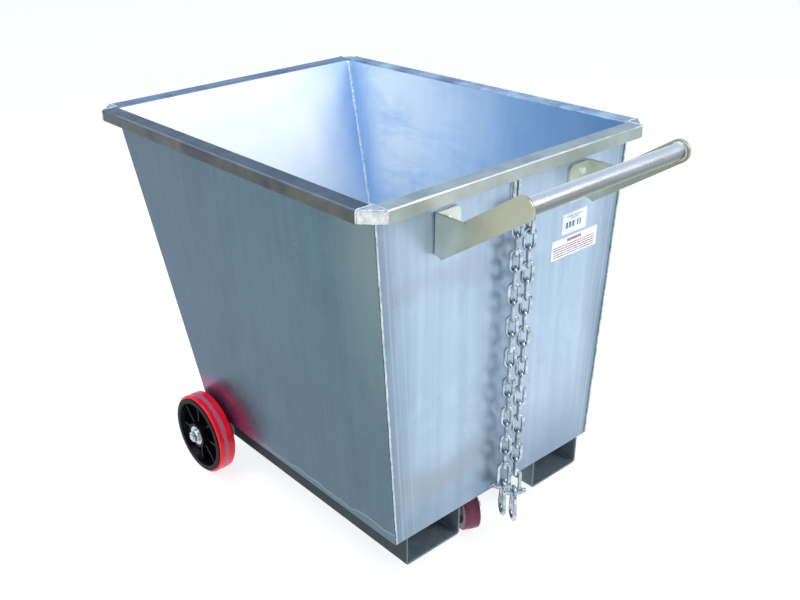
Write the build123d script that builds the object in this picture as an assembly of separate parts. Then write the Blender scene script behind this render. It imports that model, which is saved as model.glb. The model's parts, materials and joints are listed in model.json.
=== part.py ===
from build123d import *
import os
from math import asin, cos, hypot, radians, sin, tan

# Wheeled sheet-steel waste bin. Millimetres, +Z up, ground at z = 0.
# The handle end faces -Y, the two fixed wheels are at the +Y end, and the origin is
# under the centre of the whole bin, from the push handle to the front rim.

# ---- driving dimensions: the bin ----
RIM_WIDTH = 766.0
RIM_LENGTH = 962.0
RIM_HEIGHT = 874.0  # top of the rim above the ground
FLOOR_HEIGHT = 138.0  # underside of the floor above the ground
SHEET = 3.0
LIP_HEIGHT = 26.0  # turned-down face of the rim
LIP_OVERHANG = 34.0  # outside of a wall to outside of the rim, at the top
BEND_RADIUS = 3.5  # middle of the sheet, at the folds of the rim
SIDE_LEAN = 48.0  # how far each wall leans out between floor and rim
FRONT_LEAN = 210.0
HANDLE_END_LEAN = 0.0
CORNER_BEAD = (3.0, 2.0)  # outside weld: half width and height
CORNER_FILLET = 5.0  # leg of the inside weld

# ---- fork pockets ----
POCKET_WIDTH = 155.0
POCKET_DEPTH = 70.0
POCKET_SHEET = 5.0
POCKET_OUTSIDE_RADIUS = 8.0
POCKET_INSET = 29.0  # foot of the side wall to the pocket's outer face

# ---- M8 fasteners, on the castor and on the handle's brackets ----
BOLT = 8.0
BOLT_HOLE = 9.0
BOLT_HEAD = (13.0, 5.3)  # across flats and height
NUT_HEIGHT = 6.8
BOLT_TAIL = 2.0  # thread that stands out of a nut

# ---- fixed wheels ----
WHEEL_RADIUS = 100.0
WHEEL_WIDTH = 47.5
WHEEL_MIDDLE_X = 337.5
WHEEL_FROM_RIM = 688.0  # axle behind the handle end's rim, along Y
TREAD_DEPTH = 12.0
TREAD_CORNER = 4.0
FLANGE_RADIUS = 94.0
FLANGE_WIDTH = 3.0
CORE_RIM = 10.0  # thickness of the core under the tread
CORE_WEB = 8.0
CORE_DRAFT = 4.0  # slope of the dished faces, at the hub and at the rim
CORE_BORE = 28.0  # between the bearings
RIBS = 8
RIB_THICKNESS = 5.0
RIB_SETBACK = 7.0  # ribs' edges behind the wheel's faces
RIB_ROOT = 3.0  # ribs run this far into the hub
HUB_LENGTH = 55.0
HUB_RADIUS = 31.0
AXLE_DIAMETER = 20.0
AXLE_THREAD = 16.0
AXLE_BOSS = 30.0
AXLE_WASHER = (34.0, 3.0)  # diameter and thickness
AXLE_NUT = (24.0, 8.0)  # across flats and height
AXLE_TAIL = 3.0  # thread that stands out of the nut
AXLE_PLATE = (8.0, 56.0, 52.0)  # welded to the outside of the fork pocket
BEARING_DIAMETER = 47.0
BEARING_WIDTH = 14.0
RUNNING_GAP = 0.05  # radial, bearings and bushes on their shafts
SIDE_GAP = 0.3  # axial, beside things that turn

# ---- castor ----
CASTOR_X = -9.0
CASTOR_FROM_RIM = 138.0
CASTOR_RADIUS = 50.0
CASTOR_WIDTH = 36.0
CASTOR_TRAIL = 38.0
CASTOR_TURN = -25.0  # parked angle of the swivel, degrees about +Z
CASTOR_PLATE = (85.0, 105.0, 4.0)
CASTOR_PLATE_CORNER = 8.0
CASTOR_BOLT_SPACING = (60.0, 80.0)
CASTOR_RACE = (54.0, 9.0)  # fixed race: diameter and height
CASTOR_CROWN = 60.0  # diameter of the fork's crown
KINGPIN = 12.0
KINGPIN_HEAD = (22.0, 5.2)
FORK_SHEET = 4.0
FORK_GAP = 3.0  # between the wheel and each leg
FORK_LEG_TOP = 48.0  # length of a leg where it leaves the crown
FORK_LEG_END = 15.0  # radius of a leg round the axle
FORK_LEG_NOSE = (20.0, 12.0)  # leg's front corner: ahead of the pivot, below the crown
CASTOR_AXLE = 10.0
CASTOR_AXLE_HEAD = (16.0, 6.0)
CASTOR_AXLE_NUT = (16.0, 8.0)
CASTOR_AXLE_TAIL = 3.0
CASTOR_TREAD_DEPTH = 10.0
CASTOR_TREAD_CORNER = 2.5
CASTOR_CORE_RIM = 5.0
CASTOR_CORE_DRAFT = (3.0, 4.0)  # slope of the dished faces, at the hub and at the rim
CASTOR_CORE_WEB = 10.0
CASTOR_HUB = 32.0
CASTOR_HUB_PROUD = 2.0  # hub's end beyond the tread's side
CASTOR_BUSH = 18.0

# ---- push handle ----
HANDLE_X = 8.5  # middle of the handle across the bin
HANDLE_HALF_WIDTH = 216.5
HANDLE_REACH = 162.0  # tube centre outside the rim's handle-end face
HANDLE_HEIGHT = 745.0 + FLOOR_HEIGHT
TUBE_DIAMETER = 31.8
TUBE_WALL = 2.5
PLATE = 5.0
ARM_ANGLE = 33.7
ARM_END_RADIUS = 22.4
BRACKET_TOP = 686.0 + FLOOR_HEIGHT
BRACKET_FOOT = 606.0 + FLOOR_HEIGHT
BRACKET_CORNER = 601.0 + FLOOR_HEIGHT
BRACKET_FLANGE = 64.0
BRACKET_FLANGE_CORNER = 12.0
BRACKET_FOLD = 6.0  # outside radius of the fold at the wall
TUBE_WELD = 2.5
BRACKET_BOLT_IN = 28.0  # plate's outer face to its bolts
BRACKET_BOLT_EDGE = 17.0  # flange's top and bottom edges to its bolts

# ---- chain and its fittings ----
ROD = 8.0
LINK_INSIDE = (11.0, 35.35)  # width and length inside a link
LINK_SPACING = 35.0
CHAIN_X = 5.25
CHAIN_FROM_RIM = 8.0  # chain hangs this far inboard of the rim's outer face
STRAND_SPACING = 36.5
MASTER_INSIDE = (58.0, 14.0)
FIRST_LINK_HEIGHT = 613.0 + FLOOR_HEIGHT
LINKS_PER_SEGMENT = {"left": (6, 6, 4), "right": (6, 6, 5)}
FACING_ANGLE = 45.0  # links lie at 45 degrees to the wall, alternately each way
FIRST_LINK_ANGLE = {"left": 72.0, "right": 108.0}
CONTACT_GAP = 0.35
STAPLE_SPREAD = 12.7
STAPLE_REACH = 12.0  # loop's end beyond the chain
STAPLE_FROM_RIM = 10.0  # top of its legs below the rim's top
SHACKLE_ANGLE = 35.0
SHACKLE_INSIDE = 15.0
SHACKLE_LENGTH = 51.0  # inside of the bow to the pin's centre
SHACKLE_EYE = 16.0
SHACKLE_COLLAR = (13.6, 2.5)  # on the screw pin: diameter and thickness
SHACKLE_TAB = 9.0  # the pin's finger tab, with its hole
SHACKLE_TAB_HOLE = 4.0
HOOK_ROD = 9.0
HOOK_LENGTH = 90.0
HOOK_SMALL_RADIUS = 10.0
HOOK_LARGE_RADIUS = 18.0
GATE_DIAMETER = 8.4
GATE_PIVOT = 5.5  # rivet's centre past the hook's cut end
GATE_TONGUE = (7.0, 3.0)  # hook's tongue inside the forked gate: width and thickness
GATE_SLOT = 4.5  # depth of the gate's fork beyond the rivet
GATE_TIP_GAP = 0.5
GATE_RIVET = (3.0, 10.0)  # diameter and length

# ---- labels: width, height, centre x, centre height ----
LABEL_THICKNESS = 0.4
CAPACITY_LABEL = (77.0, 45.0, 193.5, 561.0 + FLOOR_HEIGHT)
NOTICE_LABEL = (145.0, 43.0, 199.0, 510.5 + FLOOR_HEIGHT)

# ---- worked out ----
OVERALL_LENGTH = HANDLE_REACH + ARM_END_RADIUS + RIM_LENGTH
RIM_BACK = OVERALL_LENGTH / -2 + HANDLE_REACH + ARM_END_RADIUS  # rim's face, handle end
RIM_FRONT = RIM_BACK + RIM_LENGTH
RIM_MIDDLE = (RIM_BACK + RIM_FRONT) / 2
WALL_RISE = RIM_HEIGHT - FLOOR_HEIGHT
HALF_WIDTH = RIM_WIDTH / 2
CORNER = LIP_OVERHANG + SHEET  # the rim's corner squares, cut off at 45 degrees
WALL_BACK = RIM_BACK + LIP_OVERHANG  # outer face of the handle-end wall
FRONT_FOOT = RIM_FRONT - LIP_OVERHANG - FRONT_LEAN
SIDE_FOOT = HALF_WIDTH - LIP_OVERHANG - SIDE_LEAN
AXLE_Y = RIM_BACK + WHEEL_FROM_RIM
CASTOR_Y = RIM_BACK + CASTOR_FROM_RIM
TUBE_Y = RIM_BACK - HANDLE_REACH
CHAIN_Y = RIM_BACK + CHAIN_FROM_RIM
POCKET_X = SIDE_FOOT - POCKET_INSET - POCKET_WIDTH / 2
TREAD_SEAT = WHEEL_RADIUS - TREAD_DEPTH
HUB_INNER = WHEEL_MIDDLE_X - HUB_LENGTH / 2
HUB_OUTER = WHEEL_MIDDLE_X + HUB_LENGTH / 2
CASTOR_PLATE_LOW = FLOOR_HEIGHT - CASTOR_PLATE[2]
FORK_TOP = CASTOR_PLATE_LOW - CASTOR_RACE[1] - SIDE_GAP  # top of the swivelling fork
CROWN_LOW = FORK_TOP - FORK_SHEET
FORK_INSIDE = CASTOR_WIDTH / 2 + FORK_GAP
CASTOR_SEAT = CASTOR_RADIUS - CASTOR_TREAD_DEPTH
MASTER_LOW_BAR = FIRST_LINK_HEIGHT + LINK_INSIDE[1] / 2 - CONTACT_GAP - ROD / 2
MASTER_MIDDLE = MASTER_LOW_BAR + (MASTER_INSIDE[1] + ROD) / 2
MASTER_TOP_BAR = MASTER_MIDDLE + (MASTER_INSIDE[1] + ROD) / 2
STAPLE_HEIGHT = MASTER_TOP_BAR - ROD - CONTACT_GAP
SIDES = {"left": -1, "right": 1}
UP = Vector(0, 0, 1)
TINY = 0.01  # how near an edge lies to the place where it is looked for

parts = {}


def keep(name, *shapes):
    """Store one solid, or several separate solids, as the node NAME."""
    found = [solid for shape in shapes for solid in shape.solids()]
    parts[name] = found[0] if len(found) == 1 else Compound(found)


def prism(points, low, high):
    """A vertical prism on a polygon of (x, y) points."""
    face = make_face(Polyline(*points, close=True))
    return Pos(0, 0, low) * extrude(face, high - low)


def bar(start, end, radius):
    """A round bar from START to END."""
    start, end = Vector(start), Vector(end)
    axis = end - start
    return extrude(Plane(origin=start, z_dir=axis) * Circle(radius), axis.length)


def tube(start, end, outer, inner):
    """A round tube from START to END."""
    return bar(start, end, outer) - bar(start, end, inner)


def hexagon(start, end, across_flats):
    """A hexagonal bar from START to END."""
    axis = Vector(*end) - Vector(*start)
    outline = RegularPolygon(across_flats / 2, 6, major_radius=False)
    return extrude(Plane(origin=start, z_dir=axis) * outline, axis.length)


# ---- tapered body ----


def lean_offset(lean):
    """Horizontal thickness of a wall that leans."""
    return SHEET * hypot(lean, WALL_RISE) / WALL_RISE


def wall_face(rim, lean, height, inner=False):
    """Distance of a wall's outer or inner face from the middle, at a height."""
    face = rim - LIP_OVERHANG - lean * (RIM_HEIGHT - height) / WALL_RISE
    return face - lean_offset(lean) if inner else face


def beyond(outward, rim, lean, inner):
    """All the space outside a wall's outer or inner face."""
    low, high, far = FLOOR_HEIGHT - 20, RIM_HEIGHT + 20, rim + 200
    outline = Polyline(
        (wall_face(rim, lean, low, inner), low),
        (wall_face(rim, lean, high, inner), high),
        (far, high),
        (far, low),
        close=True,
    )
    plane = Plane(origin=(0, 0, 0), x_dir=outward, z_dir=outward.cross(UP))
    return extrude(plane * make_face(outline), 2 * RIM_LENGTH, both=True)


def folded_wall(outward, middle, rim, lean, half_rim, cutters):
    """One wall, with its rim folded outwards and down from the same sheet."""
    plane = Plane(origin=middle, x_dir=outward, z_dir=outward.cross(UP))
    slab_top = RIM_HEIGHT - BEND_RADIUS - SHEET / 2
    slab_outline = Polyline(
        (wall_face(rim, lean, FLOOR_HEIGHT), FLOOR_HEIGHT),
        (wall_face(rim, lean, slab_top), slab_top),
        (wall_face(rim, lean, slab_top, inner=True), slab_top),
        (wall_face(rim, lean, FLOOR_HEIGHT, inner=True), FLOOR_HEIGHT),
        close=True,
    )
    slab = extrude(plane * make_face(slab_outline), half_rim + 2 * CORNER, both=True)
    for cutter in cutters:
        slab -= cutter
    half = SHEET / 2
    stub_low, stub_top = slab_top - 1, RIM_HEIGHT - half
    wall_middle = lean_offset(lean) / 2
    fold = FilletPolyline(
        (wall_face(rim, lean, stub_low) - wall_middle, stub_low),
        (wall_face(rim, lean, stub_top) - wall_middle, stub_top),
        (rim - half, stub_top),
        (rim - half, RIM_HEIGHT - LIP_HEIGHT),
        radius=BEND_RADIUS,
    )
    rim_fold = extrude(plane * trace(fold, SHEET), half_rim, both=True)
    return slab + rim_fold


def body_walls():
    left, right = Vector(-1, 0, 0), Vector(1, 0, 0)
    back, front = Vector(0, -1, 0), Vector(0, 1, 0)
    ends = [
        beyond(back, -RIM_BACK, HANDLE_END_LEAN, inner=False),
        beyond(front, RIM_FRONT, FRONT_LEAN, inner=False),
    ]
    sides = [beyond(side, HALF_WIDTH, SIDE_LEAN, inner=True) for side in (left, right)]
    half_side_rim = RIM_LENGTH / 2 - CORNER
    half_end_rim = HALF_WIDTH - CORNER
    middle = (0, RIM_MIDDLE, 0)
    for name, outward in (("left", left), ("right", right)):
        wall = folded_wall(outward, middle, HALF_WIDTH, SIDE_LEAN, half_side_rim, ends)
        keep(f"side_wall_{name}", wall)
    front_wall = folded_wall(front, (0, 0, 0), RIM_FRONT, FRONT_LEAN, half_end_rim, sides)
    keep("front_wall", front_wall)
    handle_wall = folded_wall(back, (0, 0, 0), -RIM_BACK, HANDLE_END_LEAN, half_end_rim, sides)
    for x, z in bracket_bolt_places():
        handle_wall -= bar((x, WALL_BACK - 1, z), (x, WALL_BACK + SHEET + 1, z), BOLT_HOLE / 2)
    keep("handle_end_wall", handle_wall)


def floor_plate():
    half_x = wall_face(HALF_WIDTH, SIDE_LEAN, FLOOR_HEIGHT, inner=True)
    back = WALL_BACK + SHEET
    front = wall_face(RIM_FRONT, FRONT_LEAN, FLOOR_HEIGHT, inner=True)
    outline = [(-half_x, back), (half_x, back), (half_x, front), (-half_x, front)]
    plate = prism(outline, FLOOR_HEIGHT, FLOOR_HEIGHT + SHEET)
    for x, y in castor_bolt_places():
        plate -= bar((x, y, FLOOR_HEIGHT - 1), (x, y, FLOOR_HEIGHT + SHEET + 1), BOLT_HOLE / 2)
    keep("floor_plate", plate)


def corner_caps():
    """A 45 degree cap closes each corner of the rim, folded down like the lips."""
    caps = []
    slant = SHEET * 2**0.5
    for sx in SIDES.values():
        for rim_y, sy in ((RIM_BACK, -1), (RIM_FRONT, 1)):
            outer_x, outer_y = sx * HALF_WIDTH, rim_y
            inner_x, inner_y = outer_x - sx * CORNER, outer_y - sy * CORNER
            top = prism(
                [(outer_x, inner_y), (inner_x, outer_y), (inner_x, inner_y)],
                RIM_HEIGHT - SHEET,
                RIM_HEIGHT,
            )
            face = prism(
                [
                    (outer_x, inner_y),
                    (inner_x, outer_y),
                    (inner_x, outer_y - sy * slant),
                    (outer_x - sx * slant, inner_y),
                ],
                RIM_HEIGHT - LIP_HEIGHT,
                RIM_HEIGHT,
            )
            cap = top + face
            outer_edge = [
                edge
                for edge in cap.edges()
                if abs(edge.center().Z - RIM_HEIGHT) < TINY
                and abs(abs(edge.center().X) - (HALF_WIDTH - CORNER / 2)) < TINY
                and abs(abs(edge.center().Y - rim_y) - CORNER / 2) < TINY
            ]
            caps.append(fillet(outer_edge, BEND_RADIUS))
    keep("rim_corner_caps", *caps)


def corner_line(rim_y, lean, inner):
    """Foot and top of the corner edge where a side wall meets an end wall."""
    low = FLOOR_HEIGHT + (SHEET if inner else 2)
    high = RIM_HEIGHT - BEND_RADIUS - SHEET / 2 - 1
    sy = 1 if rim_y > 0 else -1
    ends = []
    for height in (low, high):
        x = wall_face(HALF_WIDTH, SIDE_LEAN, height, inner)
        y = sy * wall_face(abs(rim_y), lean, height, inner)
        ends.append(Vector(x, y, height))
    return ends


def corner_welds():
    """A bead along each outer corner, on the end wall's face, and a fillet inside."""
    outside, inside = [], []
    bead_half, bead_height = CORNER_BEAD
    for rim_y, lean in ((RIM_BACK, HANDLE_END_LEAN), (RIM_FRONT, FRONT_LEAN)):
        sy = 1 if rim_y > 0 else -1
        foot, top = corner_line(rim_y, lean, inner=False)
        seam = foot - Vector(bead_half, 0, 0)
        bead = make_face(
            [
                ThreePointArc((-bead_half, 0), (0, sy * bead_height), (bead_half, 0)),
                Line((bead_half, 0), (-bead_half, 0)),
            ]
        )
        along = top - foot
        outside.append(extrude(Pos(*seam) * bead, along.length, dir=along.normalized()))
        foot, top = corner_line(rim_y, lean, inner=True)
        corner = Polyline((0, 0), (-CORNER_FILLET, 0), (0, -sy * CORNER_FILLET), close=True)
        along = top - foot
        inside.append(extrude(Pos(*foot) * make_face(corner), along.length, dir=along.normalized()))
    keep("corner_welds_outside", *outside, *(mirror(bead, Plane.YZ) for bead in outside))
    keep("corner_welds_inside", *inside, *(mirror(bead, Plane.YZ) for bead in inside))


def fork_pockets():
    half, sheet = POCKET_WIDTH / 2, POCKET_SHEET
    low = FLOOR_HEIGHT - POCKET_DEPTH
    for name, side in SIDES.items():
        middle = side * POCKET_X
        channel = FilletPolyline(
            (middle - half + sheet / 2, FLOOR_HEIGHT),
            (middle - half + sheet / 2, low + sheet / 2),
            (middle + half - sheet / 2, low + sheet / 2),
            (middle + half - sheet / 2, FLOOR_HEIGHT),
            radius=POCKET_OUTSIDE_RADIUS - sheet / 2,
        )
        plane = Plane(origin=(0, WALL_BACK, 0), x_dir=(1, 0, 0), z_dir=(0, -1, 0))
        keep(f"fork_pocket_{name}", extrude(plane * trace(channel, sheet), WALL_BACK - FRONT_FOOT))


# ---- fixed wheels ----


def axle_stubs():
    """A stub axle for each wheel, on a plate welded to the side of the fork pocket."""
    thick, length, height = AXLE_PLATE
    pocket_face = POCKET_X + POCKET_WIDTH / 2
    shoulder = HUB_OUTER + SIDE_GAP
    washer_end = shoulder + AXLE_WASHER[1]
    nut_end = washer_end + AXLE_NUT[1]
    thread_end = nut_end + AXLE_TAIL
    thread_clear = AXLE_THREAD / 2 + RUNNING_GAP
    washers, nuts = [], []
    for name, side in SIDES.items():

        def at(x):
            return (side * x, AXLE_Y, WHEEL_RADIUS)

        stub = Pos(*at(pocket_face + thick / 2)) * Box(thick, length, height)
        stub += bar(at(pocket_face), at(HUB_INNER - SIDE_GAP), AXLE_BOSS / 2)
        stub += bar(at(pocket_face), at(shoulder), AXLE_DIAMETER / 2)
        stub += bar(at(pocket_face), at(thread_end), AXLE_THREAD / 2)
        keep(f"axle_stub_{name}", stub)
        washers.append(tube(at(shoulder), at(washer_end), AXLE_WASHER[0] / 2, thread_clear))
        nut = hexagon(at(washer_end), at(nut_end), AXLE_NUT[0])
        nuts.append(nut - bar(at(washer_end), at(nut_end), thread_clear))
    keep("axle_washers", *washers)
    keep("axle_nuts", *nuts)


def wheel_core_section():
    """Half section of the wheel's core: x along the axle from its middle, y outward."""
    half, hub, web = WHEEL_WIDTH / 2, HUB_LENGTH / 2, CORE_WEB / 2
    shoulder = half - FLANGE_WIDTH
    rim_inside = TREAD_SEAT - CORE_RIM
    bearing, bearing_end = BEARING_DIAMETER / 2, hub - BEARING_WIDTH
    outer_half = [
        (bearing_end, CORE_BORE / 2),
        (bearing_end, bearing),
        (hub, bearing),
        (hub, HUB_RADIUS),
        (web, HUB_RADIUS + CORE_DRAFT),
        (web, rim_inside - CORE_DRAFT),
        (half, rim_inside + CORE_DRAFT),
        (half, FLANGE_RADIUS),
        (shoulder, FLANGE_RADIUS),
        (shoulder, TREAD_SEAT),
    ]
    inner_half = [(-x, y) for x, y in reversed(outer_half)]
    return Polyline(*outer_half, *inner_half, close=True)


def fixed_wheels():
    core = revolve(make_face(wheel_core_section()), Axis.X)
    rib_start, rib_end = HUB_RADIUS - RIB_ROOT, TREAD_SEAT - CORE_RIM / 2
    rib = Box(WHEEL_WIDTH - 2 * RIB_SETBACK, rib_end - rib_start, RIB_THICKNESS)
    rib = Pos(0, (rib_start + rib_end) / 2, 0) * rib
    for i in range(RIBS):
        core += Rot(360 / RIBS * i, 0, 0) * rib
    section = Rectangle(WHEEL_WIDTH - 2 * FLANGE_WIDTH, TREAD_DEPTH)
    section = fillet(section.vertices().sort_by(Axis.Y)[2:], TREAD_CORNER)
    tread = revolve(Pos(0, TREAD_SEAT + TREAD_DEPTH / 2) * section, Axis.X)
    bearings = []
    for side in SIDES.values():
        start = (side * (HUB_LENGTH / 2 - BEARING_WIDTH), 0, 0)
        end = (side * HUB_LENGTH / 2, 0, 0)
        bearings.append(tube(start, end, BEARING_DIAMETER / 2, AXLE_DIAMETER / 2 + RUNNING_GAP))
    for name, side in SIDES.items():
        place = Pos(side * WHEEL_MIDDLE_X, AXLE_Y, WHEEL_RADIUS)
        keep(f"wheel_core_{name}", place * core)
        keep(f"wheel_tread_{name}", place * tread)
        keep(f"wheel_bearings_{name}", *(place * ring for ring in bearings))


# ---- castor ----


def castor_bolt_places():
    sx, sy = CASTOR_BOLT_SPACING
    return [(CASTOR_X + dx * sx / 2, CASTOR_Y + dy * sy / 2) for dx in (-1, 1) for dy in (-1, 1)]


def castor_mounting():
    """Top plate bolted under the floor, with the fixed race and the kingpin."""
    width, length, thick = CASTOR_PLATE
    low, floor_top = CASTOR_PLATE_LOW, FLOOR_HEIGHT + SHEET
    plate = extrude(RectangleRounded(width, length, CASTOR_PLATE_CORNER), thick)
    plate = Pos(CASTOR_X, CASTOR_Y, low) * plate
    across, head = BOLT_HEAD
    bolts, nuts = [], []
    for x, y in castor_bolt_places():
        plate -= bar((x, y, low - 1), (x, y, FLOOR_HEIGHT + 1), BOLT_HOLE / 2)
        bolt = hexagon((x, y, floor_top), (x, y, floor_top + head), across)
        bolts.append(bolt + bar((x, y, low - NUT_HEIGHT - BOLT_TAIL), (x, y, floor_top), BOLT / 2))
        nut = hexagon((x, y, low - NUT_HEIGHT), (x, y, low), across)
        nuts.append(nut - bar((x, y, low - NUT_HEIGHT), (x, y, low), BOLT / 2))
    keep("castor_plate", plate)
    keep("castor_bolts", *bolts)
    keep("castor_nuts", *nuts)

    def at(z):
        return (CASTOR_X, CASTOR_Y, z)

    race_width, race_height = CASTOR_RACE
    keep("castor_fixed_race", tube(at(low - race_height), at(low), race_width / 2, KINGPIN / 2))
    head_width, head_height = KINGPIN_HEAD
    head_top = CROWN_LOW - SIDE_GAP
    pin = bar(at(head_top), at(low), KINGPIN / 2)
    pin += bar(at(head_top - head_height), at(head_top), head_width / 2)
    keep("castor_kingpin", pin)


def castor_place(shape):
    """From the castor's own frame, pivot at x = y = 0 and wheel trailing to -Y."""
    return Pos(CASTOR_X, CASTOR_Y, 0) * (Rot(0, 0, CASTOR_TURN) * shape)


def castor_axle_at(x):
    """A point on the castor wheel's axle, in the castor's own frame."""
    return (x, -CASTOR_TRAIL, CASTOR_RADIUS)


def castor_fork():
    crown = Circle(CASTOR_CROWN / 2) - Circle(KINGPIN / 2 + 2 * RUNNING_GAP)
    crown = Pos(0, 0, CROWN_LOW) * extrude(crown, FORK_SHEET)
    half_top = FORK_LEG_TOP / 2
    nose_reach, nose_drop = FORK_LEG_NOSE
    top = Polyline(
        (-half_top, FORK_TOP),
        (half_top, FORK_TOP),
        (nose_reach, CROWN_LOW - nose_drop),
        close=True,
    )
    end = Pos(-CASTOR_TRAIL, CASTOR_RADIUS) * Circle(FORK_LEG_END)
    leg_outline = make_hull([*end.edges(), *top.edges()])
    leg_plane = Plane(origin=(FORK_INSIDE, 0, 0), x_dir=(0, 1, 0), z_dir=(1, 0, 0))
    leg = extrude(leg_plane * leg_outline, FORK_SHEET)
    outer = FORK_INSIDE + FORK_SHEET
    leg -= bar(castor_axle_at(0), castor_axle_at(2 * outer), CASTOR_AXLE / 2)
    keep("castor_fork", castor_place(crown + leg + mirror(leg, Plane.YZ)))

    head_width, head_height = CASTOR_AXLE_HEAD
    nut_width, nut_height = CASTOR_AXLE_NUT
    bolt_end = outer + nut_height + CASTOR_AXLE_TAIL
    bolt = bar(castor_axle_at(-outer), castor_axle_at(bolt_end), CASTOR_AXLE / 2)
    bolt += hexagon(castor_axle_at(-outer - head_height), castor_axle_at(-outer), head_width)
    nut_ends = (castor_axle_at(outer), castor_axle_at(outer + nut_height))
    nut = hexagon(*nut_ends, nut_width) - bar(*nut_ends, CASTOR_AXLE / 2)
    keep("castor_axle_bolt", castor_place(bolt))
    keep("castor_axle_nut", castor_place(nut))


def castor_wheel():
    half, web = CASTOR_WIDTH / 2, CASTOR_CORE_WEB / 2
    hub_end, hub = half + CASTOR_HUB_PROUD, CASTOR_HUB / 2
    bush = CASTOR_BUSH / 2
    draft_at_hub, draft_at_rim = CASTOR_CORE_DRAFT
    rim_inside = CASTOR_SEAT - CASTOR_CORE_RIM
    outer_half = [
        (hub_end, bush),
        (hub_end, hub),
        (web, hub + draft_at_hub),
        (web, rim_inside - draft_at_rim),
        (half, rim_inside),
        (half, CASTOR_SEAT),
    ]
    inner_half = [(-x, y) for x, y in reversed(outer_half)]
    place = Pos(*castor_axle_at(0))
    core = place * revolve(make_face(Polyline(*outer_half, *inner_half, close=True)), Axis.X)
    section = Rectangle(CASTOR_WIDTH, CASTOR_TREAD_DEPTH)
    section = fillet(section.vertices().sort_by(Axis.Y)[2:], CASTOR_TREAD_CORNER)
    section = Pos(0, CASTOR_SEAT + CASTOR_TREAD_DEPTH / 2) * section
    tread = place * revolve(section, Axis.X)
    reach = FORK_INSIDE - SIDE_GAP
    bushing = tube((-reach, 0, 0), (reach, 0, 0), bush, CASTOR_AXLE / 2 + RUNNING_GAP)
    keep("castor_core", castor_place(core))
    keep("castor_tread", castor_place(tread))
    keep("castor_bush", castor_place(place * bushing))


# ---- push handle ----


def bracket_bolt_heights():
    return (BRACKET_TOP - BRACKET_BOLT_EDGE, BRACKET_FOOT + BRACKET_BOLT_EDGE)


def bracket_bolt_places():
    reach = HANDLE_HALF_WIDTH - BRACKET_BOLT_IN
    return [(HANDLE_X + side * reach, z) for side in SIDES.values() for z in bracket_bolt_heights()]


def bracket_outline():
    """The arm's side view: x is the distance outside the rim, y the height."""
    tilt = radians(ARM_ANGLE)
    end = (HANDLE_REACH, HANDLE_HEIGHT)
    across = (-ARM_END_RADIUS * sin(tilt), ARM_END_RADIUS * cos(tilt))
    upper = (end[0] + across[0], end[1] + across[1])
    lower = (end[0] - across[0], end[1] - across[1])
    tip = (end[0] + ARM_END_RADIUS * cos(tilt), end[1] + ARM_END_RADIUS * sin(tilt))
    knee = upper[0] - (upper[1] - BRACKET_TOP) / tan(tilt)
    heel = lower[0] - (lower[1] - BRACKET_CORNER) / tan(tilt)
    wall = -LIP_OVERHANG
    edge = Polyline(
        upper,
        (knee, BRACKET_TOP),
        (wall, BRACKET_TOP),
        (wall, BRACKET_FOOT),
        (wall + 2 * PLATE, BRACKET_FOOT),
        (heel, BRACKET_CORNER),
        lower,
    )
    return make_face([*edge.edges(), ThreePointArc(lower, tip, upper)])


def brackets():
    """A flat arm each side, with a flange folded in against the wall and bolted to it."""
    outer = HANDLE_HALF_WIDTH
    side_plane = Plane(origin=(outer, RIM_BACK, 0), x_dir=(0, -1, 0), z_dir=(-1, 0, 0))
    plate = extrude(side_plane * bracket_outline(), PLATE)
    flange_middle = (outer - BRACKET_FLANGE / 2, WALL_BACK, (BRACKET_TOP + BRACKET_FOOT) / 2)
    wall_plane = Plane(origin=flange_middle, x_dir=(1, 0, 0), z_dir=(0, -1, 0))
    flange_face = Rectangle(BRACKET_FLANGE, BRACKET_TOP - BRACKET_FOOT)
    flange_face = fillet(flange_face.vertices().sort_by(Axis.X)[:2], BRACKET_FLANGE_CORNER)
    bracket = plate + extrude(wall_plane * flange_face, PLATE)
    fold = [
        edge
        for edge in bracket.edges().filter_by(Axis.Z)
        if abs(edge.center().X - outer) < TINY and abs(edge.center().Y - WALL_BACK) < TINY
    ]
    bracket = fillet(fold, BRACKET_FOLD)
    bolt_x = outer - BRACKET_BOLT_IN
    for z in bracket_bolt_heights():
        bracket -= bar((bolt_x, WALL_BACK - 2 * PLATE, z), (bolt_x, WALL_BACK + 1, z), BOLT_HOLE / 2)
    keep("handle_bracket_right", Pos(HANDLE_X, 0, 0) * bracket)
    keep("handle_bracket_left", Pos(HANDLE_X, 0, 0) * mirror(bracket, Plane.YZ))


def handle_tube():
    """The push tube between the arms, with a weld bead round each end."""
    inner = HANDLE_HALF_WIDTH - PLATE
    radius = TUBE_DIAMETER / 2
    left, right = ((HANDLE_X + side * inner, TUBE_Y, HANDLE_HEIGHT) for side in SIDES.values())
    keep("handle_tube", tube(left, right, radius, radius - TUBE_WALL))
    section = Polyline((0, radius), (TUBE_WELD, radius), (0, radius + TUBE_WELD), close=True)
    ring = revolve(make_face(section), Axis.X)
    welds = [Pos(*left) * ring, Pos(*right) * mirror(ring, Plane.YZ)]
    keep("handle_tube_welds", *welds)


def bracket_fasteners():
    bolts, nuts = [], []
    across, head = BOLT_HEAD
    outside, inside = WALL_BACK - PLATE, WALL_BACK + SHEET
    nut_end = inside + NUT_HEIGHT
    for x, z in bracket_bolt_places():
        bolt = hexagon((x, outside, z), (x, outside - head, z), across)
        bolts.append(bolt + bar((x, outside, z), (x, nut_end + BOLT_TAIL, z), BOLT / 2))
        nut = hexagon((x, inside, z), (x, nut_end, z), across)
        nuts.append(nut - bar((x, inside, z), (x, nut_end, z), BOLT / 2))
    keep("bracket_bolts", *bolts)
    keep("bracket_nuts", *nuts)


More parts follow.
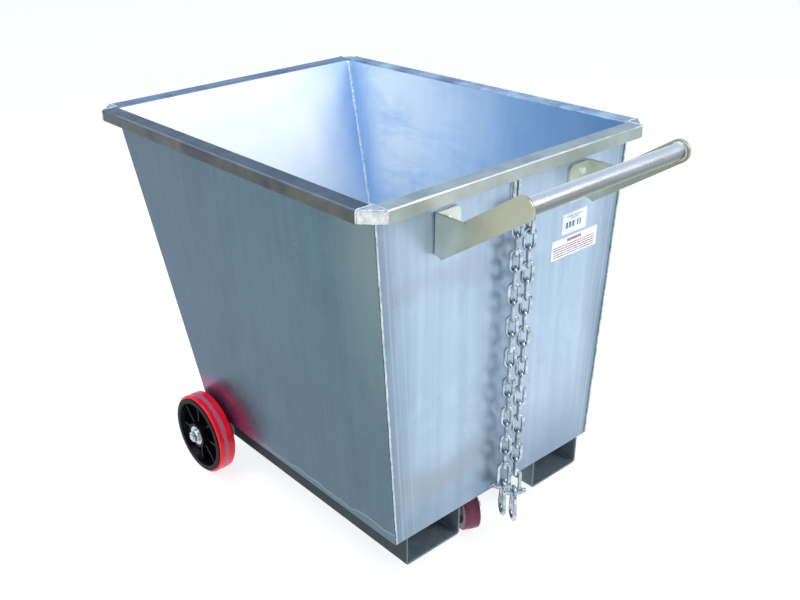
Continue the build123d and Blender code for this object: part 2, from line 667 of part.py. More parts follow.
def labels():
    for name, size in (("capacity_label", CAPACITY_LABEL), ("notice_label", NOTICE_LABEL)):
        width, height, x, z = size
        label = Box(width, LABEL_THICKNESS, height)
        keep(name, Pos(x, WALL_BACK - LABEL_THICKNESS / 2, z) * label)


# ---- safety chain ----


def half_ring(radius, rod):
    """Half a ring of round rod in the XZ plane, arching upwards."""
    ring = revolve(Pos(radius, 0, 0) * Circle(rod / 2), Axis.Y, 180)
    return Rot(180, 0, 0) * ring


def oval(inside_width, inside_length, rod):
    """A closed oval of round rod, in the XZ plane, long way up."""
    radius = (inside_width + rod) / 2
    straight = (inside_length - inside_width) / 2
    bend = half_ring(radius, rod)
    shape = Pos(0, 0, straight) * bend + Pos(0, 0, -straight) * (Rot(0, 180, 0) * bend)
    for x in (-radius, radius):
        shape += bar((x, 0, -straight), (x, 0, straight), rod / 2)
    return shape


def turned(shape, angle):
    """Turn a shape made in the XZ plane to its hanging angle about the vertical."""
    return Rot(0, 0, -angle) * shape


def chain_staple():
    """A rod down the wall, out under the rim and back: the chain hangs on its loop."""
    half = STAPLE_SPREAD / 2
    wall_y = WALL_BACK - ROD / 2 - RUNNING_GAP
    top = RIM_HEIGHT - STAPLE_FROM_RIM
    loop_y = CHAIN_Y - STAPLE_REACH
    loop_radius = half - 2 * RUNNING_GAP
    path = FilletPolyline(
        (CHAIN_X - half, wall_y, top),
        (CHAIN_X - half, wall_y, STAPLE_HEIGHT),
        (CHAIN_X - half, loop_y, STAPLE_HEIGHT),
        (CHAIN_X + half, loop_y, STAPLE_HEIGHT),
        (CHAIN_X + half, wall_y, STAPLE_HEIGHT),
        (CHAIN_X + half, wall_y, top),
        radius=[ROD, loop_radius, loop_radius, ROD],
    )
    start = Plane(origin=(CHAIN_X - half, wall_y, top), z_dir=(0, 0, -1))
    keep("chain_staple", sweep(start * Circle(ROD / 2), path))


def master_link():
    link = Rot(0, 90, 0) * oval(MASTER_INSIDE[1], MASTER_INSIDE[0], ROD)
    keep("chain_master_link", Pos(CHAIN_X, CHAIN_Y, MASTER_MIDDLE) * link)


def link_angles(name):
    """Each link's angle: the first suits the master link, the rest lie at +/-45."""
    count = sum(LINKS_PER_SEGMENT[name])
    facing = 0 if name == "left" else 1
    rest = [FACING_ANGLE if i % 2 == facing else -FACING_ANGLE for i in range(1, count)]
    return [FIRST_LINK_ANGLE[name], *rest]


def strand_x(name):
    return CHAIN_X + SIDES[name] * STRAND_SPACING / 2


def strands():
    link = oval(*LINK_INSIDE, ROD)
    for name in SIDES:
        angles = link_angles(name)
        number = 0
        for segment, count in zip(("top", "middle", "bottom"), LINKS_PER_SEGMENT[name]):
            links = []
            for i in range(number, number + count):
                height = FIRST_LINK_HEIGHT - i * LINK_SPACING
                links.append(Pos(strand_x(name), CHAIN_Y, height) * turned(link, angles[i]))
            number += count
            keep(f"chain_{name}_{segment}", *links)


def last_link_height(name):
    return FIRST_LINK_HEIGHT - (sum(LINKS_PER_SEGMENT[name]) - 1) * LINK_SPACING


def shackle_pin_height(name):
    bow_inside = last_link_height(name) - LINK_INSIDE[1] / 2 + CONTACT_GAP
    return bow_inside - SHACKLE_LENGTH


def shackle():
    """Bow and screw pin in the XZ plane, pin centre at the origin, head to +X."""
    radius = (SHACKLE_INSIDE + ROD) / 2
    bend_height = SHACKLE_LENGTH - SHACKLE_INSIDE / 2
    outer = radius + ROD / 2
    bow = Pos(0, 0, bend_height) * half_ring(radius, ROD)
    for x in (-radius, radius):
        bow += bar((x, 0, 0), (x, 0, bend_height), ROD / 2)
        bow += bar((x - ROD / 2, 0, 0), (x + ROD / 2, 0, 0), SHACKLE_EYE / 2)
    bow -= bar((-outer - 1, 0, 0), (outer + 1, 0, 0), ROD / 2 + RUNNING_GAP)

    collar_width, collar = SHACKLE_COLLAR
    collar_start = outer + 4 * RUNNING_GAP
    pin = bar((-outer - 1, 0, 0), (collar_start + collar, 0, 0), ROD / 2)
    pin += bar((collar_start, 0, 0), (collar_start + collar, 0, 0), collar_width / 2)
    tab_middle = outer + collar + SHACKLE_TAB / 2
    tab = Pos(tab_middle, 0, 0) * Box(SHACKLE_TAB, ROD / 2, SHACKLE_TAB + 2)
    tab = fillet(tab.edges().filter_by(Axis.Y).sort_by(Axis.X)[2:], SHACKLE_TAB / 2)
    tab -= bar((tab_middle, -ROD, 0), (tab_middle, ROD, 0), SHACKLE_TAB_HOLE / 2)
    return bow, pin + tab


def hook_frame():
    """The pear's two bends, and where its open side leaves each of them."""
    drop = HOOK_LENGTH - HOOK_SMALL_RADIUS - HOOK_LARGE_RADIUS - HOOK_ROD
    top = ROD / 2 + CONTACT_GAP + HOOK_ROD / 2 - HOOK_SMALL_RADIUS
    low = top - drop
    tilt = asin((HOOK_LARGE_RADIUS - HOOK_SMALL_RADIUS) / drop)
    upper = Vector(HOOK_SMALL_RADIUS * cos(tilt), 0, top + HOOK_SMALL_RADIUS * sin(tilt))
    lower = Vector(HOOK_LARGE_RADIUS * cos(tilt), 0, low + HOOK_LARGE_RADIUS * sin(tilt))
    return top, low, upper, lower


def rod_arc(start, middle, end):
    """Round hook rod along an arc."""
    path = ThreePointArc(start, middle, end)
    return sweep(Plane(origin=path @ 0, z_dir=path % 0) * Circle(HOOK_ROD / 2), path)


def cross_pin(middle, length, radius):
    """A pin along Y, centred on a point."""
    reach = Vector(0, length / 2, 0)
    return bar(middle - reach, middle + reach, radius)


def snap_hook():
    """Pear-shaped hook in the XZ plane, its narrow end round the origin's pin."""
    top, low, upper, lower = hook_frame()
    upper_left, lower_left = Vector(-upper.X, 0, upper.Z), Vector(-lower.X, 0, lower.Z)
    body = rod_arc(upper_left, (0, 0, top + HOOK_SMALL_RADIUS), upper)
    body += rod_arc(lower_left, (0, 0, low - HOOK_LARGE_RADIUS), lower)
    body += bar(lower_left, upper_left, HOOK_ROD / 2)

    along = (lower - upper).normalized()
    across = Vector(along.Z, 0, -along.X)
    pivot = upper + along * GATE_PIVOT
    tip = lower - along * GATE_TIP_GAP
    behind = pivot - along * HOOK_ROD
    tongue_width, tongue = GATE_TONGUE
    rivet_width, rivet_length = GATE_RIVET
    rivet_hole = cross_pin(pivot, 2 * HOOK_ROD, rivet_width / 2 + RUNNING_GAP)

    def flat(start, length, width, thickness):
        plane = Plane(origin=start, x_dir=across, z_dir=along)
        return extrude(plane * Rectangle(width, thickness), length)

    body += flat(upper - along, GATE_PIVOT + 1, tongue_width, tongue)
    body += cross_pin(pivot, tongue, tongue_width / 2)
    gate_radius = GATE_DIAMETER / 2
    gate = bar(pivot, tip, gate_radius) + cross_pin(pivot, GATE_DIAMETER, gate_radius)
    gate &= bar(behind, tip, gate_radius)
    gate -= flat(behind, HOOK_ROD + GATE_SLOT, 3 * gate_radius, tongue + 2 * SIDE_GAP)
    rivet = cross_pin(pivot, rivet_length, rivet_width / 2)
    return body - rivet_hole, gate - rivet_hole, rivet


def chain_ends():
    """A shackle and a snap hook at the end of each strand."""
    bow, pin = shackle()
    body, gate, rivet = snap_hook()
    for name, side in SIDES.items():
        place = Pos(strand_x(name), CHAIN_Y, shackle_pin_height(name))
        facing = SHACKLE_ANGLE if side > 0 else SHACKLE_ANGLE + 180
        keep(f"shackle_{name}_bow", place * turned(bow, facing))
        keep(f"shackle_{name}_pin", place * turned(pin, facing))
        across = SHACKLE_ANGLE + 90
        keep(f"hook_{name}_body", place * turned(body, across))
        keep(f"hook_{name}_gate", place * turned(gate, across))
        keep(f"hook_{name}_rivet", place * turned(rivet, across))


body_walls()
floor_plate()
corner_caps()
corner_welds()
fork_pockets()
axle_stubs()
fixed_wheels()
castor_mounting()
castor_fork()
castor_wheel()
brackets()
handle_tube()
bracket_fasteners()
labels()
chain_staple()
master_link()
strands()
chain_ends()

os.makedirs("parts", exist_ok=True)
for node, shape in parts.items():
    export_step(shape, f"parts/{node}.step")
print(len(parts), "nodes,", Compound(list(parts.values())).bounding_box())
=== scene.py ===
import json
import math
import random

import bmesh
import bpy
from mathutils import Matrix, Vector, noise


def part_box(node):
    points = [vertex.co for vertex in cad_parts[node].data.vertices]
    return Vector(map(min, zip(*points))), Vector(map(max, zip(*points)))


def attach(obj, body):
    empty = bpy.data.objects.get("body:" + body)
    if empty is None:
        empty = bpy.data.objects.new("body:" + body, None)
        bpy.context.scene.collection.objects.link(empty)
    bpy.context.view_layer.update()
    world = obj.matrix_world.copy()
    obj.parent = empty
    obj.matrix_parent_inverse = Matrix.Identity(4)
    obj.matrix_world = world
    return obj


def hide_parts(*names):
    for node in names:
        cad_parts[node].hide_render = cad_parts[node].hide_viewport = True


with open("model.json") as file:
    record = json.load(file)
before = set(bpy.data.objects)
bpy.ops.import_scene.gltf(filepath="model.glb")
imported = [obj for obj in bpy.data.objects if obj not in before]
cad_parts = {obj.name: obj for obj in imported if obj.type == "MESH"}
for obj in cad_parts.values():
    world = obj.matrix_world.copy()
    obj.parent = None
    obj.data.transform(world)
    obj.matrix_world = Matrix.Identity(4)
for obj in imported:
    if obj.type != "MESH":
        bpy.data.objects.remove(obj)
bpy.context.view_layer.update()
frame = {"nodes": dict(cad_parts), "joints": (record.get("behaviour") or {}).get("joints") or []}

MM = 0.001
RIGHT, LEFT = (1, 0, 0), (-1, 0, 0)
FORWARD, BACKWARD = (0, 1, 0), (0, -1, 0)
UP = (0, 0, 1)
rng = random.Random(7)

# the bin's walls
SIDE_SLOPE = 0.065  # outward lean of the side walls, metres a metre
FRONT_SLOPE = 0.285
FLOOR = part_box("floor_plate")[0][2]
HANDLE_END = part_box("side_wall_left")[0][1]
END_HALF_WIDTH = 0.292  # of the handle end wall, its edges run down to the ground

# weld beads
BEAD_SIDES = 9
BEAD_STEP = 1.6 * MM
SWELLS, RIPPLES, WANDERS, LUMPS = 160, 900, 90, 500  # how fine each unevenness is, per metre
# every bead has a number that seeds its lumps; these are the first ones
FIRST_BEAD = {"corners": 1, "tube": 11, "caps": 20, "pockets": 40, "staple": 60}

PRINT_DEPTH = 0.05 * MM

# colours: linear RGB, and pairs of them are the dark and the light tone of one surface
ZINC_OUTSIDE = (0.15, 0.21, 0.25), (0.24, 0.31, 0.35)
ZINC_INSIDE = (0.33, 0.46, 0.62), (0.50, 0.63, 0.78)
OLIVE_LIP = (0.30, 0.36, 0.34), (0.44, 0.49, 0.45)
# painted highlight on the rims' bends
BEND_HIGHLIGHT = (0.88, 0.92, 0.94)
SCRATCH = (0.70, 0.74, 0.77)
# painted reflection of the wheel's red tread
PINK = (0.72, 0.055, 0.28)
SPLASH_LINE = (0.36, 0.45, 0.52)
SPLASH_HAZE = (0.15, 0.24, 0.29)
VIOLET_BLUE = (0.050, 0.085, 0.170)
GREY_GREEN = (0.17, 0.24, 0.23)
DEEP_BLUE = (0.13, 0.29, 0.50)
# painted pool of light on the right wall
PALE_REFLECTED_LIGHT = (0.84, 0.93, 0.98)
SKY_BLUE = (0.36, 0.56, 0.86)
# painted shade for the level bands on the handle end wall
REFLECTED_SHADE = (0.30, 0.32, 0.35)
# painted shade at the end wall's foot and corners
END_WALL_SHADE = (0.17, 0.24, 0.31)
PALE_LINE = (0.70, 0.80, 0.90)
POCKET_SHADE = (0.018, 0.026, 0.027)
STEEL_BLUE = (0.20, 0.28, 0.38)
WHITE = (1.0, 1.0, 1.0)


# ---- camera, floor and light ----


def make_camera():
    """The camera stands off the handle end's left corner and looks down into the bin.

    Its place, turn and lens are solved from the perspective of the rim, pockets and wheels."""
    place = (-1.3156, -1.4675, 1.4262)
    right = Vector((0.77393645, -0.63247948, -0.03149733))
    up = Vector((0.29935278, 0.32156821, 0.89832166))
    back = right.cross(up)
    data = bpy.data.cameras.new("camera")
    data.sensor_width = 36.0
    data.lens = 43.085
    data.shift_x = 0.0818
    data.shift_y = -0.0028
    camera = bpy.data.objects.new("camera", data)
    turn = Matrix((right, up, back)).transposed().to_4x4()
    camera.matrix_world = Matrix.Translation(place) @ turn
    bpy.context.scene.collection.objects.link(camera)
    bpy.context.scene.camera = camera


def area_light(name, place, target, size, power, colour):
    data = bpy.data.lights.new(name, "AREA")
    data.shape = "RECTANGLE"
    data.size, data.size_y = size
    data.energy = power
    data.color = colour
    light = bpy.data.objects.new(name, data)
    light.location = place
    aim = Vector(target) - Vector(place)
    light.rotation_euler = aim.to_track_quat("-Z", "Y").to_euler()
    bpy.context.scene.collection.objects.link(light)


def make_lights():
    middle = (0, 0, 0.5)
    area_light("key", (1.6, -3.2, 3.2), middle, (2.2, 2.2), 95, (1.0, 0.98, 0.95))
    area_light("top", (-0.9, 0.2, 3.4), middle, (2.2, 2.2), 70, (0.94, 0.97, 1.0))
    area_light("left", (-3.6, 0.4, 2.2), middle, (2.2, 1.4), 12, (0.95, 0.98, 1.0))


def make_world():
    """A pale horizon that turns to soft blue overhead."""
    world = bpy.data.worlds.new("studio")
    world.use_nodes = True
    tree = world.node_tree
    background = tree.nodes["Background"]
    coords = tree.nodes.new("ShaderNodeTexCoord")
    split = tree.nodes.new("ShaderNodeSeparateXYZ")
    ramp = tree.nodes.new("ShaderNodeValToRGB")
    horizon, overhead = ramp.color_ramp.elements
    horizon.position, horizon.color = 0.0, (0.94, 0.97, 1.0, 1)
    overhead.position, overhead.color = 0.75, (0.42, 0.60, 0.86, 1)
    tree.links.new(coords.outputs["Generated"], split.inputs[0])
    tree.links.new(split.outputs["Z"], ramp.inputs["Fac"])
    tree.links.new(ramp.outputs["Color"], background.inputs["Color"])
    background.inputs["Strength"].default_value = 0.75
    bpy.context.scene.world = world


def make_stage():
    """A plain pale floor that glows a little, so that it is as white as the background."""
    bpy.ops.mesh.primitive_plane_add(size=60)
    floor = bpy.context.object
    floor.name = "floor"
    material = bpy.data.materials.new("floor")
    material.use_nodes = True
    surface = material.node_tree.nodes["Principled BSDF"]
    surface.inputs["Base Color"].default_value = (0.36, 0.36, 0.36, 1)
    surface.inputs["Roughness"].default_value = 0.9
    surface.inputs["Specular IOR Level"].default_value = 0.0
    surface.inputs["Emission Color"].default_value = (*WHITE, 1)
    surface.inputs["Emission Strength"].default_value = 0.80
    floor.data.materials.append(material)


# ---- shader helpers ----


def add(tree, kind, inputs=None, **settings):
    """A node with its settings; an input is a value, or another node's socket to link."""
    node = tree.nodes.new(kind)
    for name, value in settings.items():
        setattr(node, name, value)
    for name, value in (inputs or {}).items():
        connect(tree, value, node.inputs[name])
    return node


def connect(tree, value, socket):
    """Links a socket's output to SOCKET, or sets a plain value on it."""
    if isinstance(value, bpy.types.NodeSocket):
        tree.links.new(value, socket)
    else:
        socket.default_value = value


def start(name, roughness=0.4, metallic=0.0):
    material = bpy.data.materials.new(name)
    material.use_nodes = True
    tree = material.node_tree
    surface = tree.nodes["Principled BSDF"]
    surface.inputs["Roughness"].default_value = roughness
    surface.inputs["Metallic"].default_value = metallic
    coords = add(tree, "ShaderNodeTexCoord").outputs["Object"]
    return material, tree, surface, coords


def noise_value(tree, coords, scale, stretch=(1, 1, 1), detail=4.0, rough=0.55, turn=(0, 0, 0), bend=0.0):
    """Noise of that many cells a metre, stretched along an axis where STRETCH is small."""
    place = add(tree, "ShaderNodeMapping", {"Vector": coords, "Scale": stretch, "Rotation": turn})
    inputs = {
        "Vector": place.outputs[0],
        "Scale": scale,
        "Detail": detail,
        "Roughness": rough,
        "Distortion": bend,
    }
    return add(tree, "ShaderNodeTexNoise", inputs).outputs["Fac"]


def span(tree, value, low, high, to_low=0.0, to_high=1.0):
    """VALUE from LOW..HIGH to TO_LOW..TO_HIGH, held at both ends."""
    ends = {"Value": value, "From Min": low, "From Max": high, "To Min": to_low, "To Max": to_high}
    return add(tree, "ShaderNodeMapRange", ends).outputs["Result"]


def noise_span(tree, value, to_low=0.0, to_high=1.0):
    """Noise, which mostly lies between 0.3 and 0.7, to TO_LOW..TO_HIGH."""
    return span(tree, value, 0.3, 0.7, to_low, to_high)


def maths(tree, operation, a, b=0.0):
    node = add(tree, "ShaderNodeMath", operation=operation)
    connect(tree, a, node.inputs[0])
    connect(tree, b, node.inputs[1])
    return node.outputs[0]


def product(tree, *values):
    result = values[0]
    for value in values[1:]:
        result = maths(tree, "MULTIPLY", result, value)
    return result


def size_of(tree, value):
    """The value without its sign."""
    return maths(tree, "ABSOLUTE", value)


def blend_colour(tree, factor, a, b):
    """Colour A where FACTOR is 0 and colour B where it is 1."""
    node = add(tree, "ShaderNodeMix", data_type="RGBA")
    for name, value in (("Factor", factor), ("A", a), ("B", b)):
        kind = "VALUE" if name == "Factor" else "RGBA"
        socket = next(s for s in node.inputs if s.name == name and s.type == kind)
        is_plain_colour = isinstance(value, tuple)
        connect(tree, (*value, 1) if is_plain_colour else value, socket)
    return next(s for s in node.outputs if s.type == "RGBA")


def bump(tree, surface, height, strength, distance):
    node = add(tree, "ShaderNodeBump", {"Height": height, "Strength": strength, "Distance": distance})
    tree.links.new(node.outputs[0], surface.inputs["Normal"])


def along(tree, coords, direction):
    """How far a point lies along a direction."""
    dot = add(tree, "ShaderNodeVectorMath", {0: coords, 1: direction}, operation="DOT_PRODUCT")
    return dot.outputs["Value"]


def from_point(tree, coords, point, keep=(1, 1, 1)):
    """Offset from a point, with the directions not wanted set to nought."""
    offset = add(tree, "ShaderNodeVectorMath", {0: coords, 1: point}, operation="SUBTRACT")
    kept = add(tree, "ShaderNodeVectorMath", {0: offset.outputs[0], 1: keep}, operation="MULTIPLY")
    return kept.outputs[0]


def length(tree, vector):
    return add(tree, "ShaderNodeVectorMath", {0: vector}, operation="LENGTH").outputs["Value"]


def two_tone(tree, coords, tones, cells, stretch=(1, 1, 1)):
    """A cloudy blend of two colours."""
    clouds = noise_value(tree, coords, cells, stretch, detail=5.0, rough=0.6)
    return blend_colour(tree, span(tree, clouds, 0.36, 0.64), *tones)


def scratch_mask(tree, coords, turn, cells):
    """Thin sparse lines: very stretched noise, kept only in patches."""
    lines = noise_value(tree, coords, 1.0, (1300, cells, cells), detail=1.0, rough=0.4, turn=turn)
    patches = noise_value(tree, coords, 0.6 * cells, detail=1.0)
    return product(tree, span(tree, lines, 0.76, 0.84), span(tree, patches, 0.56, 0.70))


def scaled(colour, factor, lift=0.0):
    """A lighter or darker colour, no brighter than white."""
    return tuple(min(1.0, c * factor + lift) for c in colour)


# ---- zinc sheet ----


def zinc_colour(tree, coords, tones, clouds, smudges, streaks, marks):
    """Clouds, runs down the sheet, pale smudges, dull patches and scratches."""
    dark, light = tones
    runs = noise_value(tree, coords, 1.0, (55, 55, 1.3), detail=3.0)
    cloudy_part = product(tree, noise_span(tree, clouds), 1.0 - streaks)
    streaky_part = product(tree, noise_span(tree, runs), streaks)
    colour = blend_colour(tree, maths(tree, "ADD", cloudy_part, streaky_part), dark, light)
    haze = product(tree, span(tree, smudges, 0.52, 0.72), marks)
    colour = blend_colour(tree, haze, colour, scaled(light, 1.2, 0.04))
    dull = product(tree, span(tree, smudges, 0.42, 0.30), marks)
    colour = blend_colour(tree, dull, colour, scaled(dark, 0.78))
    long_cuts = scratch_mask(tree, coords, (0.3, 0.7, 0.2), 6.0)
    short_cuts = scratch_mask(tree, coords, (1.1, 0.2, 0.9), 9.0)
    cuts = maths(tree, "MAXIMUM", long_cuts, short_cuts)
    return blend_colour(tree, product(tree, cuts, 0.8 * marks), colour, SCRATCH)


def rim_colour(tree, coords, colour, node, outward, top, lip, bend):
    """The folded rim's top and turned-down lip, in tones painted for the light and shade on each, and a
    painted highlight on the bend between.
    """
    low, high = vectors(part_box(node))
    face = max(low.dot(Vector(outward)), high.dot(Vector(outward)))
    height = along(tree, coords, UP)
    reach = along(tree, coords, outward)
    fold, blur = 4.2 * MM, 0.6 * MM
    on_top = span(tree, height, high.z - fold - blur, high.z - fold)
    on_lip = span(tree, reach, face - fold, face - fold + blur)
    colour = blend_colour(tree, on_top, colour, two_tone(tree, coords, top, 14.0))
    colour = blend_colour(tree, on_lip, colour, two_tone(tree, coords, lip, 9.0))
    # painted highlight: a bright line along the rim's outer bend
    highlight_starts, highlight_full = 4.5 * MM, 2 * MM
    highlight_on_bend = product(
        tree,
        span(tree, reach, face - highlight_starts, face - highlight_full),
        span(tree, height, high.z - highlight_starts, high.z - highlight_full),
        span(tree, noise_value(tree, coords, 12.0), 0.35, 0.6, 0.30, 0.9),
    )
    return blend_colour(tree, highlight_on_bend, colour, bend)


def reverse_side(tree, coords, colour, facing, tones):
    """The tones of the sheet's other side, which faces FACING."""
    normal = add(tree, "ShaderNodeTexCoord").outputs["Normal"]
    turned = span(tree, along(tree, normal, facing), 0.3, 0.6)
    other = two_tone(tree, coords, tones, 4.0, (1, 1, 0.5))
    return blend_colour(tree, turned, colour, other)


def zinc_sheet(
    name,
    tones,
    own_marks_and_shading=None,
    reverse=None,
    rim=None,
    roughness=0.33,
    metallic=0.72,
    streaks=0.35,
    marks=0.35,
):
    """Bright zinc-plated sheet. The wall's own marks, and its painted light and shade, go on the side
    that is seen most.

    REVERSE is what reverse_side takes, and RIM what rim_colour takes."""
    material, tree, surface, coords = start(name, roughness, metallic)
    clouds = noise_value(tree, coords, 2.6, detail=5.0, bend=0.7)
    smudges = noise_value(tree, coords, 11.0, (1, 1, 0.6), detail=6.0, rough=0.62, bend=0.5)
    grain = noise_value(tree, coords, 520.0, detail=2.0)
    colour = zinc_colour(tree, coords, tones, clouds, smudges, streaks, marks)
    if own_marks_and_shading:
        colour = own_marks_and_shading(tree, coords, colour)
    if reverse:
        colour = reverse_side(tree, coords, colour, **reverse)
    if rim:
        colour = rim_colour(tree, coords, colour, **rim)
    tree.links.new(colour, surface.inputs["Base Color"])
    patchy_rough = noise_span(tree, smudges, roughness - 0.07, roughness + 0.10)
    fine_rough = noise_span(tree, grain, -0.02, 0.03)
    tree.links.new(maths(tree, "ADD", patchy_rough, fine_rough), surface.inputs["Roughness"])
    relief = maths(tree, "ADD", product(tree, grain, 0.25), clouds)
    bump(tree, surface, relief, 0.35, 1.2 * MM)
    return material


# ---- each wall's own marks, painted light and painted shade ----


def painted_tread_reflection(tree, coords, colour):
    """Painted reflection of the red tread in the wall, strongest below and behind the wheel."""
    lit = Vector(middle_of("wheel_tread_left")) - Vector((0, 30 * MM, 22 * MM))
    strongest, faded = 85 * MM, 190 * MM
    distance = length(tree, from_point(tree, coords, lit, keep=(0, 1, 1)))
    near = maths(tree, "POWER", span(tree, distance, strongest, faded, 1.0, 0.0), 1.2)
    return blend_colour(tree, product(tree, near, 0.85), colour, PINK)


def tide_mark(tree, coords, colour):
    """A wavering pale line and haze a little above the foot of the wall, left by dried splashes."""
    waver = noise_value(tree, coords, 4.0, detail=3.0)
    level = noise_span(tree, waver, FLOOR + 5 * MM, FLOOR + 30 * MM)
    above = maths(tree, "SUBTRACT", along(tree, coords, UP), level)
    line = span(tree, size_of(tree, above), 0.5 * MM, 2.2 * MM, 1.0, 0.0)
    broken = span(tree, noise_value(tree, coords, 14.0), 0.38, 0.54, 0.2, 1.0)
    colour = blend_colour(tree, product(tree, line, broken, 0.5), colour, SPLASH_LINE)
    haze = span(tree, above, -55 * MM, 0.0, 0.0, 0.28)
    under = product(tree, haze, span(tree, above, 0.0, 3 * MM, 1.0, 0.0))
    return blend_colour(tree, under, colour, SPLASH_HAZE)


def left_wall_marks_and_reflection(tree, coords, colour):
    """Violet-blue towards the front, pale grey-green at the handle's corner, then its marks and a painted
    reflection of the tread.
    """
    forward_and_low = span(tree, along(tree, coords, (0, 1, -0.6)), -0.75, 0.25)
    patchy = span(tree, noise_value(tree, coords, 3.2, detail=3.0), 0.35, 0.65, 0.3, 1.0)
    colour = blend_colour(tree, product(tree, forward_and_low, patchy, 0.6), colour, VIOLET_BLUE)
    lie = along(tree, coords, FORWARD)
    near_corner = span(tree, lie, HANDLE_END + 30 * MM, HANDLE_END + 130 * MM, 1.0, 0.0)
    high_up = span(tree, along(tree, coords, UP), 0.35, 0.80)
    colour = blend_colour(tree, product(tree, near_corner, high_up, 0.8), colour, GREY_GREEN)
    return painted_tread_reflection(tree, coords, tide_mark(tree, coords, colour))


def right_wall_sky_reflection(tree, coords, colour):
    """Painted sky reflection, deep blue towards the handle, and a painted pool of pale light over the
    front half, thin at the corner.
    """
    back_and_high = span(tree, along(tree, coords, (0, -1, 0.9)), 0.50, 1.05)
    colour = blend_colour(tree, product(tree, back_and_high, 0.85), colour, DEEP_BLUE)
    lie = along(tree, coords, (0, 1, -FRONT_SLOPE))
    away_from_handle = span(tree, lie, -0.28, 0.14)
    clear_of_corner = span(tree, lie, 0.20, 0.27, 1.0, 0.0)
    blotches = noise_value(
        tree, coords, 6.0, (1, 0.7, 1.8), detail=7.0, rough=0.66, turn=(0.9, 0, 0), bend=0.5
    )
    patchy = span(tree, blotches, 0.34, 0.56, 0.3, 1.0)
    light_patch = product(tree, away_from_handle, clear_of_corner, patchy)
    # painted pool of light over the front half of the right wall
    return blend_colour(tree, light_patch, colour, PALE_REFLECTED_LIGHT)


def front_wall_shade(tree, coords, colour):
    """The front wall is palest on the left and blue beside its right corner."""
    lie = along(tree, coords, (1, 0, -SIDE_SLOPE))
    uneven = noise_span(tree, noise_value(tree, coords, 4.0, detail=3.0), -0.05, 0.05)
    shade = span(tree, maths(tree, "ADD", lie, uneven), 0.08, 0.31)
    return blend_colour(tree, maths(tree, "POWER", shade, 1.4), colour, SKY_BLUE)


def painted_shade_band(tree, coords, colour, level, half_height, strength):
    """A faint level band of painted shade, reflected and cast, ragged at its edges, left of the chain."""
    ragged = noise_span(tree, noise_value(tree, coords, 7.0, detail=4.0), -30 * MM, 30 * MM)
    height = maths(tree, "ADD", along(tree, coords, UP), ragged)
    off = size_of(tree, maths(tree, "SUBTRACT", height, level))
    band = span(tree, off, half_height * 0.3, half_height, strength, 0.0)
    left_of_chain = span(tree, along(tree, coords, RIGHT), -0.10, 0.02, 1.0, 0.0)
    return blend_colour(tree, product(tree, band, left_of_chain), colour, REFLECTED_SHADE)


def pale_corner_lines(tree, lie, colour):
    """Pale lines beside each corner of the handle end wall."""
    for inset, width, strength in ((22, 2.5, 0.24), (34, 1.2, 0.14), (52, 2.0, 0.16)):
        off = size_of(tree, maths(tree, "SUBTRACT", lie, END_HALF_WIDTH - inset * MM))
        line = product(tree, span(tree, off, 0.0, width * MM, 1.0, 0.0), strength)
        colour = blend_colour(tree, line, colour, PALE_LINE)
    return colour


def end_wall_marks_and_shade(tree, coords, colour):
    """Painted shade at its foot and corners, two bands of painted shade, and pale lines beside each
    corner.
    """
    height = along(tree, coords, UP)
    across = size_of(tree, along(tree, coords, RIGHT))
    lie = maths(tree, "SUBTRACT", across, product(tree, height, SIDE_SLOPE))
    by_corner = span(tree, lie, END_HALF_WIDTH - 90 * MM, END_HALF_WIDTH - 10 * MM)
    by_foot = span(tree, height, FLOOR + 20 * MM, FLOOR + 190 * MM, 0.85, 0.0)
    shade_at_edges = maths(tree, "MAXIMUM", maths(tree, "POWER", by_corner, 1.5), by_foot)
    uneven = noise_span(tree, noise_value(tree, coords, 5.0, detail=3.0), 0.6, 1.0)
    # painted shade, darker towards the foot and both corners
    colour = blend_colour(tree, product(tree, shade_at_edges, uneven, 0.9), colour, END_WALL_SHADE)
    low_band, high_band = 0.245, 0.69
    colour = painted_shade_band(tree, coords, colour, low_band, 45 * MM, 0.45)
    colour = painted_shade_band(tree, coords, colour, high_band, 40 * MM, 0.25)
    return pale_corner_lines(tree, lie, colour)


def pocket_outside_shade(tree, coords, colour):
    """Painted shade on the pockets' outer sides, darkest towards the wheels."""
    across = size_of(tree, along(tree, coords, RIGHT))
    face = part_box("fork_pocket_right")[1][0]
    outer_side = span(tree, across, face - 1.5 * MM, face - 0.5 * MM)
    darker_forward = span(tree, along(tree, coords, FORWARD), -0.5, 0.3, 0.80, 0.97)
    # painted shade on the pockets' outer sides
    return blend_colour(tree, product(tree, outer_side, darker_forward), colour, POCKET_SHADE)


# ---- other materials ----


def weld_metal(name, dark, light, metallic=0.45, elsewhere=None):
    """Plated weld metal and hammered edges, pale with dark pits. ELSEWHERE tints level tops
    and all corners but the palest one, by the handle on the left."""
    material, tree, surface, coords = start(name, 0.42, metallic)
    patches = noise_value(tree, coords, 60.0, detail=5.0, rough=0.65)
    pits = noise_value(tree, coords, 420.0, detail=3.0, rough=0.6)
    colour = blend_colour(tree, span(tree, patches, 0.36, 0.62), dark, light)
    colour = blend_colour(tree, span(tree, pits, 0.40, 0.30), colour, scaled(dark, 0.45))
    if elsewhere:
        colour = tint_elsewhere(tree, coords, colour, elsewhere)
    tree.links.new(colour, surface.inputs["Base Color"])
    tree.links.new(noise_span(tree, patches, 0.30, 0.58), surface.inputs["Roughness"])
    bump(tree, surface, pits, 0.6, 0.8 * MM)
    return material


def tint_elsewhere(tree, coords, colour, tint):
    """Tints the caps' level tops, and every corner but the one by the handle on the left."""
    by_the_handle = along(tree, coords, (-1, -1, 0))
    other_corners = span(tree, by_the_handle, 0.6, 0.7, 0.85, 0.0)
    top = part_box("rim_corner_caps")[1][2]
    level_top = span(tree, along(tree, coords, UP), top - 3 * MM, top - 1 * MM, 0.0, 0.55)
    return blend_colour(tree, maths(tree, "MAXIMUM", other_corners, level_top), colour, tint)


